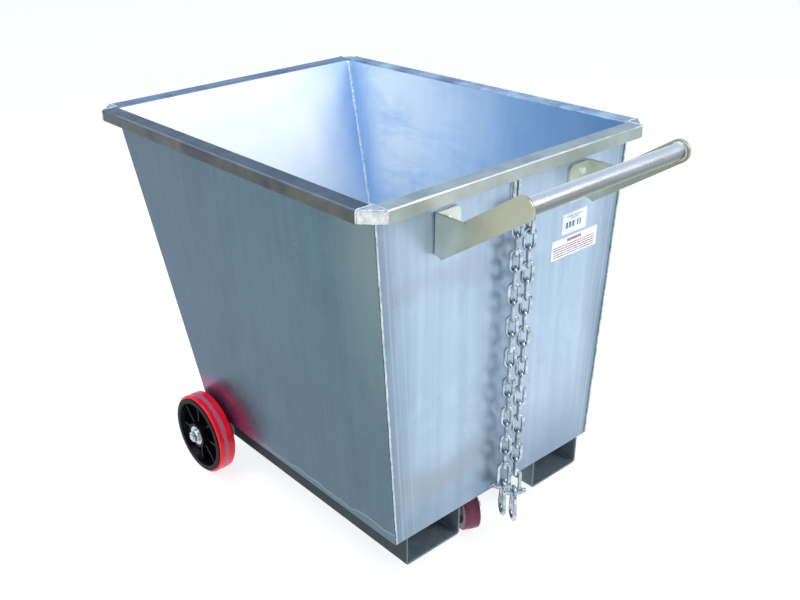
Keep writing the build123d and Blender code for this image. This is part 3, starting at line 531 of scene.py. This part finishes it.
def passivated(name):
    """Yellow-green passivated zinc, with faint pink and blue interference tints."""
    olive, pale_green = (0.50, 0.54, 0.42), (0.72, 0.80, 0.70)
    pinkish, bluish = (0.70, 0.52, 0.42), (0.50, 0.68, 0.66)
    brown_olive = (0.38, 0.37, 0.25)
    material, tree, surface, coords = start(name, 0.34, 0.65)
    wide = noise_value(tree, coords, 8.0, detail=3.0, bend=1.2)
    tint = noise_value(tree, coords, 22.0, detail=4.0, bend=0.8)
    colour = blend_colour(tree, span(tree, wide, 0.32, 0.68), olive, pale_green)
    colour = blend_colour(tree, span(tree, tint, 0.58, 0.72, 0, 0.35), colour, pinkish)
    colour = blend_colour(tree, span(tree, tint, 0.42, 0.30, 0, 0.35), colour, bluish)
    outward = span(tree, along(tree, coords, BACKWARD), -HANDLE_END, -HANDLE_END + 110 * MM)
    colour = blend_colour(tree, product(tree, outward, 0.75), colour, brown_olive)
    tree.links.new(colour, surface.inputs["Base Color"])
    tree.links.new(noise_span(tree, wide, 0.26, 0.42), surface.inputs["Roughness"])
    bump(tree, surface, noise_value(tree, coords, 600.0, detail=2.0), 0.25, 0.6 * MM)
    return material


def bright_metal(name, dark, light, roughness, cells, metallic=0.9):
    """Bright plated rod, tube and hardware, with dulled patches."""
    material, tree, surface, coords = start(name, roughness, metallic)
    patches = noise_value(tree, coords, cells)
    grain = noise_value(tree, coords, 900.0, detail=2.0)
    colour = blend_colour(tree, span(tree, patches, 0.34, 0.66), dark, light)
    tree.links.new(colour, surface.inputs["Base Color"])
    rough = noise_span(tree, patches, roughness - 0.06, roughness + 0.12)
    tree.links.new(rough, surface.inputs["Roughness"])
    bump(tree, surface, maths(tree, "ADD", grain, patches), 0.2, 0.3 * MM)
    return material


def handle_steel(name):
    """The handle's tube: a painted highlight along its top, and painted shade, dull olive, below."""
    shaded_olive = (0.15, 0.18, 0.17)
    material, tree, surface, coords = start(name, 0.24, 0.95)
    low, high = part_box("handle_tube")
    radius = (high[2] - low[2]) / 2
    height = along(tree, from_point(tree, coords, middle_of("handle_tube")), UP)
    patches = noise_value(tree, coords, 30.0, (0.2, 1, 1))
    uneven = noise_span(tree, patches, -0.12 * radius, 0.12 * radius)
    # painted highlight: white along the top of the tube, shading to olive below
    shine = span(tree, maths(tree, "ADD", height, uneven), -0.25 * radius, 0.85 * radius)
    colour = blend_colour(tree, maths(tree, "POWER", shine, 1.8), shaded_olive, WHITE)
    tree.links.new(colour, surface.inputs["Base Color"])
    tree.links.new(noise_span(tree, patches, 0.2, 0.34), surface.inputs["Roughness"])
    bump(tree, surface, noise_value(tree, coords, 900.0, detail=2.0), 0.2, 0.3 * MM)
    return material


def wheel_plastic(name, base, roughness, shine):
    """Moulded wheel centre with patches of dust."""
    material, tree, surface, coords = start(name, roughness)
    dust = noise_value(tree, coords, 70.0, detail=5.0, rough=0.6)
    dusty = scaled(base, 1.5, 0.008)
    colour = blend_colour(tree, span(tree, dust, 0.60, 0.85, 0, 0.3), base, dusty)
    tree.links.new(colour, surface.inputs["Base Color"])
    surface.inputs["Specular IOR Level"].default_value = shine
    rough = span(tree, dust, 0.35, 0.65, roughness - 0.05, roughness + 0.15)
    tree.links.new(rough, surface.inputs["Roughness"])
    bump(tree, surface, noise_value(tree, coords, 700.0, detail=2.0), 0.2, 0.4 * MM)
    return material


def worn_band(tree, coords, middle, half_band, axis, ragged, wear):
    """1 on a scuffed band round a tread and 0 beside it, with ragged, wandering edges."""
    distance = size_of(tree, along(tree, from_point(tree, coords, middle), axis))
    edge = maths(tree, "ADD", distance, noise_span(tree, ragged, -half_band * 0.5, half_band * 0.5))
    edge = maths(tree, "ADD", edge, noise_span(tree, wear, -half_band * 0.2, half_band * 0.2))
    band = span(tree, edge, half_band * 0.85, half_band * 1.15, 1.0, 0.0)
    speckle = noise_value(tree, coords, 420.0, detail=3.0, rough=0.7)
    return product(tree, band, span(tree, speckle, 0.38, 0.56, 0.25, 1.0))


def tread(name, red, worn, middle, half_band, axis=RIGHT):
    """Cast tread with a scuffed band round the middle, where it meets the ground."""
    material, tree, surface, coords = start(name, 0.30)
    ragged = noise_value(tree, coords, 260.0, detail=5.0, rough=0.75)
    wear = noise_value(tree, coords, 30.0, detail=3.0)
    band = worn_band(tree, coords, middle, half_band, axis, ragged, wear)
    shade = blend_colour(tree, span(tree, wear, 0.35, 0.65, 0, 0.5), red, scaled(red, 0.8))
    tree.links.new(blend_colour(tree, band, shade, worn), surface.inputs["Base Color"])
    rough = maths(tree, "ADD", product(tree, band, 0.35), 0.24)
    tree.links.new(rough, surface.inputs["Roughness"])
    surface.inputs["Specular IOR Level"].default_value = 0.35
    bump(tree, surface, ragged, 0.3, 0.6 * MM)
    return material


def film(name):
    """White sticker film, a little stained."""
    white, stained = (0.86, 0.87, 0.88), (0.72, 0.73, 0.72)
    material, tree, surface, coords = start(name, 0.35)
    stain = noise_value(tree, coords, 45.0, detail=5.0)
    colour = blend_colour(tree, span(tree, stain, 0.5, 0.75), white, stained)
    tree.links.new(colour, surface.inputs["Base Color"])
    bump(tree, surface, stain, 0.15, 0.5 * MM)
    return material


def ink(name, base):
    material, tree, surface, coords = start(name, 0.5)
    faded = noise_value(tree, coords, 700.0, detail=2.0)
    pale = scaled(base, 0.5, 0.5)
    colour = blend_colour(tree, span(tree, faded, 0.5, 0.8, 0, 0.7), base, pale)
    tree.links.new(colour, surface.inputs["Base Color"])
    return material


# ---- names and places ----


def vectors(box):
    """A box's low and high corner."""
    return tuple(Vector(corner) for corner in box)


def node_names(start_with):
    return [name for name in frame["nodes"] if name.startswith(start_with)]


def middle_of(node):
    low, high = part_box(node)
    return tuple((a + b) / 2 for a, b in zip(low, high))


def joint_axis(name):
    return tuple(next(j for j in frame["joints"] if j["name"] == name)["axis"])


# ---- meshes ----


def make_object(name, mesh, material, body="bin", replaces=()):
    """A finished piece, shaded smooth and riding on its body."""
    piece = bpy.data.objects.new(name, mesh)
    bpy.context.scene.collection.objects.link(piece)
    piece.data.materials.clear()
    piece.data.materials.append(material)
    for face in piece.data.polygons:
        face.use_smooth = True
    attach(piece, body)
    if replaces:
        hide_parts(*replaces)


def finish_mesh(name, mesh):
    bmesh.ops.recalc_face_normals(mesh, faces=mesh.faces)
    data = bpy.data.meshes.new(name)
    mesh.to_mesh(data)
    mesh.free()
    return data


def joined_vertices(first):
    """Every vertex that edges join to the first one, itself included, in the order found."""
    part, found = [first], {first}
    for vert in part:
        for link in vert.link_edges:
            other = link.other_vert(vert)
            if other not in found:
                found.add(other)
                part.append(other)
    return part


def loose_parts(node):
    """The vertices of each separate solid of a CAD node, left to right and then back to front."""
    mesh = bmesh.new()
    mesh.from_mesh(frame["nodes"][node].data)
    bmesh.ops.remove_doubles(mesh, verts=mesh.verts, dist=1e-6)
    done, parts = set(), []
    for vert in mesh.verts:
        if vert not in done:
            part = joined_vertices(vert)
            done.update(part)
            parts.append([v.co.copy() for v in part])
    mesh.free()
    return sorted(parts, key=lambda part: [round(min(v[axis] for v in part), 2) for axis in (0, 1)])


def ends_of(points):
    """Middle of a bar's lowest and highest ends."""
    low, high = min(p.z for p in points), max(p.z for p in points)
    reach = 1 * MM
    foot = [p for p in points if p.z < low + reach]
    top = [p for p in points if p.z > high - reach]
    return sum(foot, Vector()) / len(foot), sum(top, Vector()) / len(top)


# ---- welds and hammered caps ----


def places_along(path, step, closed):
    """Points about STEP apart along a path of straight lines."""
    places = []
    corners = path + [path[0]] if closed else path
    for a, b in zip(corners, corners[1:]):
        count = max(1, round((b - a).length / step))
        places += [a.lerp(b, i / count) for i in range(count)]
    return places if closed else places + [path[-1]]


def bead_ring(mesh, centre, forward, size, travelled, seed):
    """One uneven ring of vertices round a bead that runs in the direction FORWARD."""
    side = forward.orthogonal().normalized()
    up = forward.cross(side)
    ring = []
    for k in range(BEAD_SIDES):
        angle = 2 * math.pi * k / BEAD_SIDES
        lump = 1 + 0.16 * noise.noise(Vector((travelled * LUMPS, k * 1.7, seed)))
        outward = side * math.cos(angle) + up * math.sin(angle)
        ring.append(mesh.verts.new(centre + outward * size * lump))
    return ring


def bead(mesh, path, radius, seed, closed=False):
    """Adds a lumpy weld bead along a path of points to a bmesh."""
    places = places_along(path, BEAD_STEP, closed)
    last = len(places) - 1
    rings = []
    travelled = 0.0
    for i, place in enumerate(places):
        after = places[(i + 1) % len(places)] if closed or i < last else place
        before = places[i - 1] if closed or i > 0 else place
        travelled += BEAD_STEP
        swell = noise.noise(Vector((travelled * SWELLS, seed * 9.1, 0)))
        ripple = abs(math.sin(travelled * RIPPLES + seed))
        size = radius * (0.86 + 0.30 * swell + 0.14 * ripple)
        if not closed and i in (0, last):
            size *= 0.35
        wander = [noise.noise(Vector((travelled * WANDERS, seed * 5.3, 7.0 * k))) for k in range(3)]
        centre = place + Vector(wander) * radius * 0.35
        forward = (after - before).normalized()
        rings.append(bead_ring(mesh, centre, forward, size, travelled, seed))
    skin_rings(mesh, rings, closed)


def skin_rings(mesh, rings, closed):
    """Faces from each ring to the next, and over both ends of an open row."""
    following = rings[1:] + rings[:1] if closed else rings[1:]
    for a, b in zip(rings, following):
        for k in range(BEAD_SIDES):
            beside = (k + 1) % BEAD_SIDES
            mesh.faces.new((a[k], a[beside], b[beside], b[k]))
    if not closed:
        mesh.faces.new(rings[0])
        mesh.faces.new(rings[-1])


def corner_welds(outside, inside):
    """Lumpy beads in place of the plain ones, outside and inside each corner."""
    corners = (("corner_welds_outside", 2.0 * MM, outside), ("corner_welds_inside", 3.6 * MM, inside))
    for node, radius, material in corners:
        mesh = bmesh.new()
        for number, points in enumerate(loose_parts(node), FIRST_BEAD["corners"]):
            bead(mesh, list(ends_of(points)), radius, number)
        make_object(node + "_beads", finish_mesh(node, mesh), material, replaces=(node,))


def tube_welds(material):
    """A bead round each end of the handle's tube."""
    low, high = vectors(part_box("handle_tube"))
    middle = (low + high) / 2
    radius = (high.z - low.z) / 2
    turns = 72
    inset = 1.2 * MM
    mesh = bmesh.new()
    for number, x in enumerate((low.x + inset, high.x - inset), FIRST_BEAD["tube"]):
        ring = []
        for i in range(turns):
            angle = 2 * math.pi * i / turns
            spoke = Vector((0, math.cos(angle), math.sin(angle))) * radius
            ring.append(Vector((x, middle.y, middle.z)) + spoke)
        bead(mesh, ring, 2.0 * MM, number, closed=True)
    make_object(
        "handle_tube_beads",
        finish_mesh("handle_tube_beads", mesh),
        material,
        replaces=("handle_tube_welds",),
    )


def corner_caps(material):
    """The hammered caps that close the rim's corners, from the plain ones."""
    plain = frame["nodes"]["rim_corner_caps"]
    rough = bpy.data.objects.new("caps_source", plain.data.copy())
    bpy.context.scene.collection.objects.link(rough)
    remesh = rough.modifiers.new("voxels", "REMESH")
    remesh.mode = "VOXEL"
    remesh.voxel_size = 1.5 * MM
    bpy.context.view_layer.update()
    graph = bpy.context.evaluated_depsgraph_get()
    mesh = bpy.data.meshes.new_from_object(rough.evaluated_get(graph))
    bpy.data.objects.remove(rough)
    dent_depth, dents = 0.78 * MM, 55  # dents are so many a metre
    nick_depth, nicks = 0.5 * MM, 260
    sunk = 0.2 * MM
    for vert in mesh.vertices:
        dent = noise.noise(vert.co * dents) * dent_depth
        nick = noise.noise(vert.co * nicks) * nick_depth
        vert.co += vert.normal * (dent + nick - sunk)
    make_object("rim_corner_caps_hammered", mesh, material, replaces=("rim_corner_caps",))


def cap_seams(material):
    """Welds where each cap meets the rims on both sides of it."""
    low, high = vectors(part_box("rim_corner_caps"))
    cap = high.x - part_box("handle_end_wall")[1][0]
    top, foot = Vector((0, 0, high.z)), Vector((0, 0, low.z + 1 * MM))
    bend_in, bend_down = 2 * MM, Vector((0, 0, 3 * MM))
    number = FIRST_BEAD["caps"]
    mesh = bmesh.new()
    for to_side, x in ((Vector(LEFT), low.x), (Vector(RIGHT), high.x)):
        for to_end, y in ((Vector(BACKWARD), low.y), (Vector(FORWARD), high.y)):
            corner = Vector((x, y, 0))
            inner = corner - to_side * cap - to_end * cap
            for outward, rim in ((to_side, corner - to_end * cap), (to_end, corner - to_side * cap)):
                seam = [inner + top, rim - outward * bend_in + top, rim + top - bend_down, rim + foot]
                bead(mesh, seam, 1.7 * MM, number)
                number += 1
    make_object("cap_seam_welds", finish_mesh("cap_seam_welds", mesh), material)


def pocket_welds(material):
    """Stitch welds under the floor, along both sides of each fork pocket."""
    stitch, pitch, first = 45 * MM, 150 * MM, 25 * MM
    along_y = Vector((0, stitch, 0))
    number = FIRST_BEAD["pockets"]
    mesh = bmesh.new()
    for node in ("fork_pocket_left", "fork_pocket_right"):
        low, high = vectors(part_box(node))
        for x in (low.x, high.x):
            y = low.y + first
            while y + stitch < high.y:
                begin = Vector((x, y, high.z - 0.8 * MM))
                bead(mesh, [begin, begin + along_y], 2.3 * MM, number)
                y += pitch
                number += 1
    make_object("pocket_stitch_welds", finish_mesh("pocket_stitch_welds", mesh), material)


def staple_welds(material):
    """Beads beside the chain staple's two legs, on the wall."""
    low, high = vectors(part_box("chain_staple"))
    rod = 8 * MM
    upwards = Vector((0, 0, 5 * rod))
    mesh = bmesh.new()
    for number, x in enumerate((low.x, high.x), FIRST_BEAD["staple"]):
        foot = Vector((x, HANDLE_END - 0.5 * MM, low.z + 2.5 * rod))
        bead(mesh, [foot, foot + upwards], 1.8 * MM, number)
    make_object("staple_welds", finish_mesh("staple_welds", mesh), material)


# ---- print on the labels ----


def block(mesh, x, z, width, height, y):
    """A thin printed block that faces -Y, its lower left corner at x, z."""
    outline = [(x, z), (x + width, z), (x + width, z + height), (x, z + height)]
    near = [mesh.verts.new((px, y - PRINT_DEPTH, pz)) for px, pz in outline]
    far = [mesh.verts.new((px, y, pz)) for px, pz in outline]
    mesh.faces.new(near)
    mesh.faces.new(far[::-1])
    for k in range(4):
        mesh.faces.new((near[k], near[(k + 1) % 4], far[(k + 1) % 4], far[k]))


def printed_line(mesh, left, right, z, y, height, shortest, longest, gap):
    """One line of print, as blocks of random length."""
    x = left
    while x + shortest < right:
        width = min(rng.uniform(shortest, longest), right - x)
        block(mesh, x, z, width, height, y)
        x += width + gap


def capacity_print(material):
    """Two short lines of print above a row of broad bars, in two groups."""
    low, high = vectors(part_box("capacity_label"))
    small = {"height": 1.7 * MM, "shortest": 3 * MM, "longest": 9 * MM, "gap": 1.2 * MM}
    mesh = bmesh.new()
    for row in range(2):
        z = high.z - (9 + 4.2 * row) * MM
        inset = (14 + 10 * row) * MM
        printed_line(mesh, low.x + inset, high.x - inset, z, low.y, **small)
    bar_height, bar_gap, group_gap = 13 * MM, 3.5 * MM, 5 * MM
    x, z = low.x + 12 * MM, low.z + 12 * MM
    for bars, pitch in ((3, 10 * MM), (2, 8 * MM)):
        for _ in range(bars):
            block(mesh, x, z, pitch - bar_gap, bar_height, low.y)
            x += pitch
        x += group_gap
    make_object("capacity_label_print", finish_mesh("capacity_print", mesh), material)


def notice_print(material):
    """A bold heading in the middle and five full lines of small print."""
    low, high = vectors(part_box("notice_label"))
    bold = {"height": 6.5 * MM, "shortest": 4 * MM, "longest": 6 * MM, "gap": 1.4 * MM}
    small = {"height": 2.2 * MM, "shortest": 2 * MM, "longest": 9 * MM, "gap": 1.6 * MM}
    middle = (low.x + high.x) / 2
    half_heading, margin = 24 * MM, 7 * MM
    mesh = bmesh.new()
    heading_foot = high.z - 11 * MM
    printed_line(mesh, middle - half_heading, middle + half_heading, heading_foot, low.y, **bold)
    for row in range(5):
        z = high.z - (18 + 5.2 * row) * MM
        printed_line(mesh, low.x + margin, high.x - margin, z, low.y, **small)
    make_object("notice_label_print", finish_mesh("notice_print", mesh), material)


# ---- putting it together ----


def paint(material, *nodes):
    """Gives a material to CAD nodes."""
    for node in nodes:
        for place in frame["nodes"][node].material_slots:
            place.material = material


def soften_edges(width, *nodes):
    """Rounds the sharp edges of sheet and plate, so that they catch the light."""
    for node in nodes:
        piece = frame["nodes"][node]
        weld = piece.modifiers.new("join", "WELD")
        weld.merge_threshold = 0.01 * MM
        bevel = piece.modifiers.new("edges", "BEVEL")
        bevel.width = width
        bevel.segments = 2
        bevel.limit_method = "ANGLE"
        bevel.angle_limit = math.radians(40)
        bevel.harden_normals = True


def paint_left_wall():
    # painted shade: the left wall's zinc is given darker tones than the other walls, for the shade its
    # outside stands in
    tones = (0.061, 0.115, 0.147), (0.10, 0.178, 0.21)
    rim = {
        "node": "side_wall_left",
        "outward": LEFT,
        "top": ((0.035, 0.065, 0.11), (0.085, 0.14, 0.20)),
        "lip": ((0.045, 0.055, 0.060), (0.115, 0.12, 0.10)),
        "bend": (0.30, 0.38, 0.45),
    }
    inside = {"facing": RIGHT, "tones": ZINC_INSIDE}
    material = zinc_sheet(
        "zinc_left", tones, left_wall_marks_and_reflection, inside, rim, roughness=0.27, metallic=0.78, marks=0.22
    )
    paint(material, "side_wall_left")


def paint_right_wall():
    # painted light: the right wall's zinc is a brighter blue than the other walls, for the sky it
    # reflects
    tones = (0.33, 0.54, 0.80), (0.52, 0.72, 0.92)
    rim = {
        "node": "side_wall_right",
        "outward": RIGHT,
        "top": ((0.13, 0.22, 0.36), (0.40, 0.54, 0.70)),
        "lip": OLIVE_LIP,
        "bend": BEND_HIGHLIGHT,
    }
    outside = {"facing": RIGHT, "tones": ZINC_OUTSIDE}
    material = zinc_sheet(
        "zinc_right", tones, right_wall_sky_reflection, outside, rim, roughness=0.36, metallic=0.45
    )
    paint(material, "side_wall_right")


def paint_front_wall():
    # painted light: the front wall's zinc is near white, for the light that falls on it inside the bin
    tones = (0.86, 0.89, 0.92), (0.94, 0.95, 0.96)
    rim = {
        "node": "front_wall",
        "outward": FORWARD,
        "top": ((0.08, 0.13, 0.21), (0.16, 0.23, 0.34)),
        "lip": OLIVE_LIP,
        "bend": BEND_HIGHLIGHT,
    }
    outside = {"facing": FORWARD, "tones": ZINC_OUTSIDE}
    material = zinc_sheet(
        "zinc_front",
        tones,
        front_wall_shade,
        outside,
        rim,
        roughness=0.40,
        metallic=0.25,
        streaks=0.2,
        marks=0.2,
    )
    paint(material, "front_wall")


def paint_handle_end():
    tones = (0.34, 0.45, 0.56), (0.48, 0.60, 0.73)
    rim = {
        "node": "handle_end_wall",
        "outward": BACKWARD,
        "top": ((0.30, 0.38, 0.41), (0.46, 0.53, 0.55)),
        "lip": OLIVE_LIP,
        "bend": BEND_HIGHLIGHT,
    }
    inside = {"facing": FORWARD, "tones": ZINC_INSIDE}
    material = zinc_sheet("zinc_end", tones, end_wall_marks_and_shade, inside, rim, roughness=0.35, streaks=0.55)
    paint(material, "handle_end_wall")


def paint_underneath():
    floor_tones = (0.34, 0.46, 0.60), (0.50, 0.62, 0.74)
    paint(zinc_sheet("zinc_floor", floor_tones, roughness=0.40), "floor_plate")
    pocket_tones = (0.085, 0.12, 0.13), (0.19, 0.24, 0.26)
    pocket = zinc_sheet("zinc_pocket", pocket_tones, pocket_outside_shade, roughness=0.45, metallic=0.3)
    surface = pocket.node_tree.nodes["Principled BSDF"]
    surface.inputs["Specular IOR Level"].default_value = 0.15
    paint(pocket, *node_names("fork_pocket"))


def paint_metalwork():
    """The handle, the bolts and axles, the castor's fork and the chain."""
    paint(passivated("zinc_passivated"), *node_names("handle_bracket"))
    paint(handle_steel("zinc_tube"), "handle_tube")
    bolts = bright_metal("zinc_bolts", (0.80, 0.86, 0.88), WHITE, 0.35, cells=200.0, metallic=0.6)
    paint(bolts, "bracket_bolts", "bracket_nuts")
    hardware = bright_metal("zinc_hardware", (0.42, 0.45, 0.48), (0.72, 0.75, 0.78), 0.28, cells=200.0)
    paint(hardware, *node_names("axle_"), *node_names("wheel_bearings"))
    paint(hardware, "castor_bolts", "castor_nuts", "castor_kingpin")
    paint(hardware, "castor_axle_bolt", "castor_axle_nut", "castor_bush")
    castor = bright_metal("zinc_castor", (0.30, 0.34, 0.38), (0.50, 0.55, 0.60), 0.34, cells=60.0)
    paint(castor, "castor_plate", "castor_fixed_race", "castor_fork")
    chain_tones = (0.23, 0.29, 0.32), (0.62, 0.71, 0.75)
    chain = bright_metal("zinc_chain", *chain_tones, 0.18, cells=70.0, metallic=0.95)
    paint(chain, *node_names("chain_"), *node_names("shackle_"), *node_names("hook_"))


def paint_wheels():
    black, grey = (0.003, 0.0035, 0.005), (0.16, 0.17, 0.18)
    red, scuffed_red = (0.90, 0.010, 0.025), (0.30, 0.17, 0.29)
    maroon, scuffed_maroon = (0.17, 0.018, 0.050), (0.15, 0.045, 0.085)
    paint(wheel_plastic("wheel_black", black, 0.20, shine=0.05), *node_names("wheel_core"))
    paint(wheel_plastic("castor_grey", grey, 0.4, shine=0.3), "castor_core")
    off_centre = 2.5 * MM
    for side, outward in (("left", LEFT), ("right", RIGHT)):
        node = f"wheel_tread_{side}"
        band = Vector(middle_of(node)) + Vector(outward) * off_centre
        paint(tread(f"tread_{side}", red, scuffed_red, band, 5 * MM), node)
    axis = joint_axis("castor_wheel_spin")
    castor = tread("tread_castor", maroon, scuffed_maroon, middle_of("castor_tread"), 6 * MM, axis)
    paint(castor, "castor_tread")


def add_welds_and_caps():
    welds = weld_metal("weld_metal", (0.40, 0.47, 0.50), (0.74, 0.80, 0.80))
    # painted light: a lighter copy of the weld metal for the beads inside the bin
    lit_welds = weld_metal("weld_metal_lit", (0.62, 0.74, 0.88), (0.92, 0.96, 1.0), metallic=0.1)
    caps = weld_metal("hammered_zinc", (0.56, 0.58, 0.56), (0.88, 0.87, 0.84), elsewhere=STEEL_BLUE)
    corner_welds(welds, lit_welds)
    tube_welds(welds)
    corner_caps(caps)
    cap_seams(welds)
    pocket_welds(welds)
    staple_welds(welds)


def add_labels():
    paint(film("label_film"), "capacity_label", "notice_label")
    capacity_print(ink("ink_blue", (0.03, 0.18, 0.46)))
    notice_print(ink("ink_red", (0.30, 0.02, 0.10)))


def build():
    bpy.context.scene.view_settings.view_transform = "Standard"
    make_camera()
    make_world()
    make_stage()
    make_lights()
    paint_left_wall()
    paint_right_wall()
    paint_front_wall()
    paint_handle_end()
    paint_underneath()
    paint_metalwork()
    paint_wheels()
    add_welds_and_caps()
    add_labels()
    soften_edges(0.7 * MM, *node_names("fork_pocket"), *node_names("handle_bracket"))


build()
